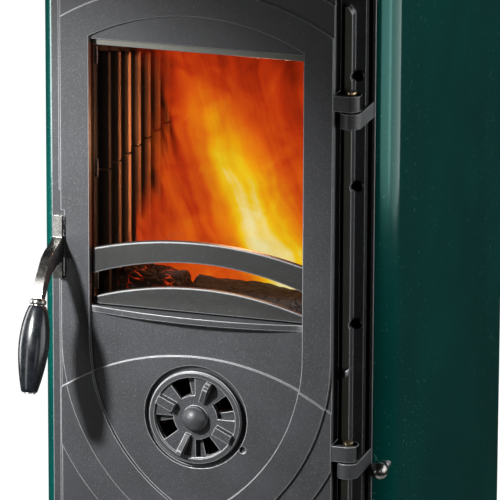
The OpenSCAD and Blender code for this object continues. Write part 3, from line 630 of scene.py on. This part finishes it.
class STOVE_OT_castings(bpy.types.Operator):
    """Round the edges of the painted castings"""

    bl_idname = "stove.castings"
    bl_label = "Castings"

    def execute(self, context):
        edge = context.scene.stove_looks.cast_edge
        eased_copy("door_casting", FINISHES["door_front"], edge, 3)
        for node in ("window_bar", "window_lip"):
            eased_copy(node, FINISHES["bar_iron"], mm(1.2))
        eased_copy("register_disc", FINISHES["door_iron"], mm(1.6), 3)
        eased_copy("register_cap", FINISHES["door_iron"], mm(1.6), 3)
        # The head strip takes the lighter paint, as painted light.
        eased_copy("window_head_strip", FINISHES["head_strip"], mm(1.5), 3)
        for node in ("hinge_bracket_upper", "hinge_bracket_lower"):
            eased_copy(node, FINISHES["door_iron"], mm(2.2), 3)
        for node in ("cheek_left", "cheek_right", "seal_land"):
            eased_copy(node, FINISHES["door_iron"], mm(0.8))
        surround = eased_copy("front_frame", FINISHES["door_iron"], mm(1.2))
        surround.data.materials.append(FINISHES["frame_black"])
        surround.data.materials.append(FINISHES["head_strip"])
        # Faces past the channel take the black paint in shadow; the rim's front faces take the lighter paint as
        # painted light.
        rim_x, channel_x = mm(160.5), mm(170.3)
        for face in surround.data.polygons:
            x = face.center.x
            on_rim = x > rim_x and face.normal.y < -0.9
            face.material_index = 1 if x > channel_x else 2 if on_rim else 0
        for node in ("base_plate", "plinth_skirt", "hearth_deck", "top_plate", "flue_collar"):
            eased_copy(node, FINISHES["body_iron"], mm(2.0), 3)
        return {"FINISHED"}


class STOVE_OT_chamber(bpy.types.Operator):
    """Give the parts inside the fire chamber their burnt finishes"""

    bl_idname = "stove.chamber"
    bl_label = "Fire chamber"

    def execute(self, context):
        for node in ("liner_left", "liner_right", "liner_back", "fire_grate", "log_retainer",
                     "grate_carrier"):
            eased_copy(node, FINISHES["liner"], mm(1.5))
        eased_copy("baffle_plate", FINISHES["vermiculite"], mm(1.0))
        return {"FINISHED"}


class STOVE_OT_fittings(bpy.types.Operator):
    """Finish the metal fittings, bolts and sheet parts"""

    bl_idname = "stove.fittings"
    bl_label = "Fittings"

    def execute(self, context):
        eased_copy("handle_lever", FINISHES["chrome"], mm(2.2), 3)
        for node in ("handle_pivot", "latch_striker", "air_rod_bush", "register_stud", "collar_bolts",
                     "glass_clips", "glass_clip_screws", "shield_screws", "frame_bolts"):
            eased_copy(node, FINISHES[NODE_SLOT[node]], mm(0.6))
        # Pins a little slimmer than their bores keep clear of the lugs at every angle of the door.
        pins = eased_copy("hinge_pins", FINISHES[NODE_SLOT["hinge_pins"]], mm(0.6))
        pin_x, pin_y, _ = JOINTS["door_hinge"]["pos_m"]
        slimmer = Matrix.Translation((pin_x, pin_y, 0)) @ Matrix.Diagonal((0.97, 0.97, 1, 1))
        pins.data.transform(slimmer @ Matrix.Translation((-pin_x, -pin_y, 0)))
        for node, shown in frame["nodes"].items():
            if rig.alive(shown) and not shown.hide_render:
                for slot in shown.material_slots:
                    slot.material = FINISHES[NODE_SLOT[node]]
        return {"FINISHED"}


class STOVE_OT_panels(bpy.types.Operator):
    """Roll the enamelled side panels"""

    bl_idname = "stove.panels"
    bl_label = "Side panels"

    def execute(self, context):
        for node, side in (("side_panel_left", -1), ("side_panel_right", 1)):
            low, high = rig.box(node)
            half_w = max(abs(low[0]), abs(high[0]))
            edge_x = min(abs(low[0]), abs(high[0]))
            radius, sheet, crown = mm(40), mm(3), mm(1.5)
            centre = (half_w - radius, low[1] + radius - mm(5.5))
            start = math.asin((edge_x - centre[0]) / radius)
            loops = []
            for inset in (0.0, sheet):
                r = radius - inset
                turn = [start + (math.pi / 2 - start) * i / 24 for i in range(25)]
                loop = [(centre[0] + r * math.sin(a), centre[1] - r * math.cos(a)) for a in turn]
                depth = high[1] - mm(0.5) - centre[1]
                for i in range(1, 17):
                    t = i / 16
                    loop.append((centre[0] + r + crown * math.sin(math.pi * t), centre[1] + depth * t))
                loops.append(loop)
            outline = [(side * x, y) for x, y in loops[0] + loops[1][::-1]]
            if side < 0:
                outline.reverse()
            panel = prism(node + "_enamelled", outline, low[2] + mm(0.5), high[2] - mm(0.5))
            ease_edges(panel, mm(1.0), 3, 50)
            fit(panel, "stove", FINISHES["enamel"], "enamel", node)
        return {"FINISHED"}


class STOVE_OT_handle(bpy.types.Operator):
    """Turn the grip and its ferrule"""

    bl_idname = "stove.handle"
    bl_label = "Handle"

    def execute(self, context):
        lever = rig.box("handle_lever")
        pivot = Vector(JOINTS["handle_lift"]["pos_m"])
        foot = Vector(((lever[0][0] + lever[1][0]) / 2, pivot.y - mm(81.5), pivot.z - mm(39)))
        down = Vector((0, -math.sin(HANDLE_TILT), -math.cos(HANDLE_TILT)))
        ferrule_length = mm(8)
        collar = [(5, 0), (7.2, 0), (7.6, 1.2), (9, 2), (9.3, 3), (9.3, 5), (9, 6), (7.6, 6.8), (7.8, 8),
                  (5, 8)]
        ferrule = lathe("ferrule", [(mm(r), mm(h)) for r, h in collar], foot, down)
        fit(ferrule, "handle", FINISHES["chrome"], "chrome", "handle_ferrule")
        length, neck, full = mm(95), mm(9), mm(17)
        profile = [(mm(4), 0)]
        for i in range(61):
            t = i / 60
            swell = max(0.0, math.sin(math.pi * t ** 0.85)) ** 0.9
            profile.append((neck + (full - neck) * swell, length * t))
        profile += [(mm(7.5), length + mm(1.2)), (mm(4), length + mm(1.4))]
        grip = lathe("turned_grip", profile, foot + down * ferrule_length, down, 96)
        fit(grip, "handle", FINISHES["bakelite"], "bakelite", "handle_grip")
        return {"FINISHED"}


class STOVE_OT_air_knob(bpy.types.Operator):
    """Turn the ball knob of the air rod"""

    bl_idname = "stove.air_knob"
    bl_label = "Air knob"

    def execute(self, context):
        low, high = (Vector(v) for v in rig.box("air_knob"))
        radius = (high.x - low.x) / 2
        centre = Vector(((low.x + high.x) / 2, low.y + radius, (low.z + high.z) / 2))
        profile = [(radius * math.sin(a), -radius * math.cos(a))
                   for a in (math.pi * (0.02 + 0.83 * i / 32) for i in range(33))]
        profile += [(mm(5), mm(9.8)), (mm(5), mm(13)), (mm(3.6), mm(13))]
        knob = lathe("ball_knob", profile, centre, (0, 1, 0), 64)
        fit(knob, "air_control", FINISHES["chrome"], "chrome", "air_knob")
        return {"FINISHED"}


class STOVE_OT_rope(bpy.types.Operator):
    """Lay the rope seal in the door's groove"""

    bl_idname = "stove.rope"
    bl_label = "Rope seal"

    def execute(self, context):
        low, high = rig.box("door_rope_seal")
        radius = mm(5.4)
        half_w, corner = high[0] - radius, mm(16)
        y = high[1] - radius
        path = []
        for cx, cz, a0 in ((1, 1, 0), (-1, 1, 90), (-1, -1, 180), (1, -1, 270)):
            x = cx * (half_w - corner)
            z = (high[2] - radius - corner) if cz > 0 else (low[2] + radius + corner)
            for i in range(9):
                a = math.radians(a0 + 90 * i / 8)
                path.append(Vector((x + corner * math.cos(a), y, z + corner * math.sin(a))))
        verts, faces, ring = [], [], 16
        n = len(path)
        for i, point in enumerate(path):
            along = (path[(i + 1) % n] - path[i - 1]).normalized()
            across = along.cross(Vector((0, 1, 0)))
            for k in range(ring):
                a = 2 * math.pi * k / ring
                verts.append(point + across * radius * math.cos(a) + Vector((0, 1, 0)) * radius * math.sin(a))
        for i in range(n):
            for k in range(ring):
                a, b = i * ring + k, i * ring + (k + 1) % ring
                c, d = ((i + 1) % n) * ring + (k + 1) % ring, ((i + 1) % n) * ring + k
                faces.append((a, b, c, d))
        rope = new_piece("rope_seal", verts, faces)
        fit(rope, "door", FINISHES["rope"], "rope", "door_rope_seal")
        return {"FINISHED"}


class STOVE_OT_clip(bpy.types.Operator):
    """Bend the spring clip on the hinge side"""

    bl_idname = "stove.clip"
    bl_label = "Spring clip"

    def execute(self, context):
        high = Vector(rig.box("spring_clip")[1])
        width, sheet, droop = mm(9), mm(0.9), mm(0.7)
        root = Vector((high.x - mm(1.2), high.y, high.z - mm(6)))
        curl = [(0, 0), (0, -13), (-1.2, -19), (-3.4, -21.5), (-5.7, -20), (-6.6, -16.5), (-5.4, -14)]
        verts, faces = [], []
        for i, (dx, dy) in enumerate(curl):
            for x in (0, sheet):
                for z in (-width / 2, width / 2):
                    verts.append(root + Vector((mm(dx) + x, mm(dy), z - droop * i)))
        for i in range(len(curl) - 1):
            a, b = 4 * i, 4 * i + 4
            for p, q in ((0, 1), (1, 3), (3, 2), (2, 0)):
                faces.append((a + p, a + q, b + q, b + p))
        faces += [(0, 2, 3, 1), tuple(4 * (len(curl) - 1) + k for k in (0, 1, 3, 2))]
        clip = new_piece("spring_clip_bent", verts, faces)
        smooth = clip.modifiers.new("bent strip", "SUBSURF")
        smooth.levels = smooth.render_levels = 2
        fit(clip, "stove", FINISHES["zinc_steel"], "zinc_steel", "spring_clip")
        return {"FINISHED"}


def rough_log(name, start, end, radius, seed):
    """A split log: a lathe form roughened along its grain."""
    start, end = Vector(start), Vector(end)
    axis = end - start
    rings, around = 40, 48
    verts, faces = [], []
    turn = Vector((0, 0, 1)).rotation_difference(axis).to_matrix()
    for i in range(rings + 1):
        t = i / rings
        for k in range(around):
            a = 2 * math.pi * k / around
            probe = Vector((math.cos(a) * 2.2, math.sin(a) * 2.2, t * 3 + seed))
            lump = 1 + 0.16 * noise.noise(probe) + 0.07 * noise.noise(probe * 4)
            r = radius * lump * (0.9 if i in (0, rings) else 1.0)
            verts.append(start + axis * t + turn @ Vector((r * math.cos(a), r * math.sin(a), 0)))
    for i in range(rings):
        for k in range(around):
            n = (k + 1) % around
            faces.append((i * around + k, i * around + n, (i + 1) * around + n, (i + 1) * around + k))
    faces.append(tuple(range(around - 1, -1, -1)))
    faces.append(tuple(rings * around + k for k in range(around)))
    return new_piece(name, verts, faces)


class STOVE_OT_fire(bpy.types.Operator):
    """Light the fire: logs, embers and flames"""

    bl_idname = "stove.fire"
    bl_label = "Fire"

    def execute(self, context):
        looks = context.scene.stove_looks
        bed = GRATE[1][2]
        hot = charred_wood("glowing charred log", 1.0, bed + mm(45))
        dull = charred_wood("charred log", 0.3, bed + mm(30))
        logs = [
            ("log_left", (-0.127, -0.118, bed + 0.068), (-0.054, -0.122, bed + 0.063), 0.023, 1.0, hot),
            ("log_right", (-0.046, -0.118, bed + 0.045), (0.121, -0.108, bed + 0.030), 0.035, 5.0, dull),
            ("log_back", (-0.110, 0.030, bed + 0.040), (0.110, 0.050, bed + 0.045), 0.038, 9.0, hot),
            ("log_under", (-0.115, -0.060, bed + 0.036), (0.110, -0.040, bed + 0.034), 0.030, 13.0, hot),
        ]
        for name, start, end, radius, seed, finish in logs:
            log = rough_log(name, start, end, radius, seed)
            fit(log, "stove", finish, "body_iron")
        draw = random.Random(7)
        for i in range(looks.ember_count):
            place = Vector((draw.uniform(-0.11, 0.11), draw.uniform(-0.14, 0.12), bed + 0.008))
            size = draw.uniform(0.008, 0.016)
            ember = rough_log(f"ember_{i:02d}", place - Vector((size, 0, 0)), place + Vector((size, size, 0)),
                              size * 0.7, i * 1.7)
            fit(ember, "stove", hot, "body_iron")
        floor, power = bed + 0.02, looks.flame_strength
        sheets = [
            ("flames_back", 0.070, flame("far flames", 2.3, (-0.006, 0.423), 0.28, 0.50, 1.0, power * 0.85)),
            ("flames_front", -0.080, flame("near flames", 8.7, (0.041, 0.470), 0.35, 0.58, 0.93, power)),
        ]
        for name, y, finish in sheets:
            half_w, top = 0.126, BAFFLE[0][2] - mm(4)
            cols, rows = 24, 16
            verts = [(-half_w + 2 * half_w * i / cols,
                      y + 0.008 * math.sin(3 * math.pi * i / cols),
                      floor + (top - floor) * j / rows) for j in range(rows + 1) for i in range(cols + 1)]
            faces = [(j * (cols + 1) + i, j * (cols + 1) + i + 1, (j + 1) * (cols + 1) + i + 1,
                      (j + 1) * (cols + 1) + i) for j in range(rows) for i in range(cols)]
            fit(new_piece(name, verts, faces), "stove", finish, "vermiculite")
        return {"FINISHED"}


# ---------------------------------------------------------------- stage

def soft_box(name, place, target, size, power, colour="#ffffff"):
    """A rectangular studio light aimed at a point."""
    data = bpy.data.lights.new(name, "AREA")
    data.shape = "RECTANGLE"
    data.size, data.size_y = size
    data.energy = power
    data.color = paint(colour)[:3]
    light = bpy.data.objects.new(name, data)
    light.location = place
    light.rotation_euler = (Vector(target) - Vector(place)).to_track_quat("-Z", "Y").to_euler()
    bpy.context.scene.collection.objects.link(light)
    return light


class STOVE_OT_stage(bpy.types.Operator):
    """Set the floor, the lights and the camera"""

    bl_idname = "stove.stage"
    bl_label = "Stage"

    def execute(self, context):
        floor_radius, corners = 0.45, 96
        turns = [math.tau * k / corners for k in range(corners)]
        rim = [(floor_radius * math.cos(a), floor_radius * math.sin(a), 0) for a in turns]
        floor = new_piece("stage_floor", rim, [tuple(range(corners))])
        pale, _, shader, _ = new_finish("pale studio floor")
        shader.inputs["Base Color"].default_value = paint("#e9e9e7")
        shader.inputs["Roughness"].default_value = 0.9
        floor.data.materials.append(pale)
        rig.stage(floor)

        world = bpy.data.worlds.new("studio")
        context.scene.world = world
        world.use_nodes = True
        sky = world.node_tree
        sky.nodes.clear()
        seen = add_node(sky, "ShaderNodeLightPath").outputs["Is Camera Ray"]
        level = add_node(sky, "ShaderNodeMix", {"Factor": seen, "A": 0.015, "B": 1.05}).outputs["Result"]
        backdrop = add_node(sky, "ShaderNodeBackground", {"Color": paint("#ffffff"), "Strength": level})
        add_node(sky, "ShaderNodeOutputWorld", {"Surface": backdrop.outputs[0]})

        # The key light is a narrow beam from the upper left, so the door falls off to its right and top.
        target = Vector((0.0, BAND_Y, DOOR_MID_Z))
        towards = Vector((0.437, 0.78, -0.445)).normalized()
        beam = bpy.data.lights.new("key", "SPOT")
        beam.energy, beam.shadow_soft_size = 162, 0.05
        beam.spot_size, beam.spot_blend = math.radians(45), 1.0
        key = bpy.data.objects.new("key", beam)
        key.location = target - towards * 1.15
        aimed = Vector((-0.17, BAND_Y, 0.43)) - key.location
        key.rotation_euler = aimed.to_track_quat("-Z", "Y").to_euler()
        context.scene.collection.objects.link(key)
        soft_box("left front", (-0.75, -1.5, 0.42), (-0.15, BAND_Y, 0.62), (0.3, 0.6), 2.2)
        soft_box("right front", (0.9, -1.4, 0.6), (0.17, BAND_Y, 0.55), (0.3, 0.6), 0.8)
        soft_box("right", (1.34, 0.45, 0.75), (0.19, -0.16, 0.72), (1.5, 1.15), 9)
        soft_box("right side", (1.6, -0.45, 0.65), (0.17, -0.23, 0.55), (1.0, 1.0), 8)
        soft_box("left strip", (-2.0, -0.1, 0.9), (-0.2, -0.15, 0.6), (0.5, 1.8), 30)
        glow = bpy.data.lights.new("fire glow", "POINT")
        glow.energy, glow.color, glow.shadow_soft_size = 1.6, paint("#ffb98a")[:3], 0.03
        lamp = bpy.data.objects.new("fire glow", glow)
        lamp.location = (0.02, -0.10, 0.60)
        context.scene.collection.objects.link(lamp)

        azimuth, elevation, roll = math.radians(17.5), math.radians(16.6), 0.0037
        distance, focal = 6.05, 396.0
        aim = target + Vector((mm(63.5), 0, 0))
        back = Vector((math.sin(azimuth) * math.cos(elevation), -math.cos(azimuth) * math.cos(elevation),
                       math.sin(elevation)))
        data = bpy.data.cameras.new("camera")
        data.lens, data.sensor_width = focal, 36.0
        data.clip_start, data.clip_end = 0.1, 60.0
        camera = bpy.data.objects.new("camera", data)
        camera.location = aim + back * distance
        look = (-back).to_track_quat("-Z", "Y").to_matrix() @ Matrix.Rotation(roll, 3, "Z")
        camera.rotation_euler = look.to_euler()
        context.scene.collection.objects.link(camera)
        context.scene.camera = camera
        context.scene.view_settings.view_transform = "Standard"
        return {"FINISHED"}


STEPS = (STOVE_OT_stage, STOVE_OT_castings, STOVE_OT_chamber, STOVE_OT_panels, STOVE_OT_handle,
         STOVE_OT_air_knob, STOVE_OT_rope, STOVE_OT_clip, STOVE_OT_fire, STOVE_OT_fittings)


class STOVE_PT_sidebar(bpy.types.Panel):
    """The stove's pieces, in the order they are made"""

    bl_label = "Wood burning stove"
    bl_space_type = "VIEW_3D"
    bl_region_type = "UI"
    bl_category = "Stove"

    def draw(self, context):
        looks = context.scene.stove_looks
        for name in ("enamel_colour", "cast_edge", "flame_strength", "ember_count"):
            self.layout.prop(looks, name)
        for step in STEPS:
            self.layout.operator(step.bl_idname)


CLASSES = (StoveLooks, *STEPS, STOVE_PT_sidebar)


def register():
    for cls in CLASSES:
        bpy.utils.register_class(cls)
    bpy.types.Scene.stove_looks = bpy.props.PointerProperty(type=StoveLooks)


def unregister():
    del bpy.types.Scene.stove_looks
    for cls in reversed(CLASSES):
        bpy.utils.unregister_class(cls)


def plain(box):
    """A box's corners as plain lists of numbers."""
    return [[float(v) for v in corner] for corner in box]


def main():
    register()
    make_finishes()
    for step in STEPS:
        group, name = step.bl_idname.split(".")
        getattr(getattr(bpy.ops, group), name)()
    with open("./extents.json", "w") as out:
        json.dump({"cad": plain(CAD_BOX), "visual": plain(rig.bounds())}, out)


if __name__ == "__main__":
    main()
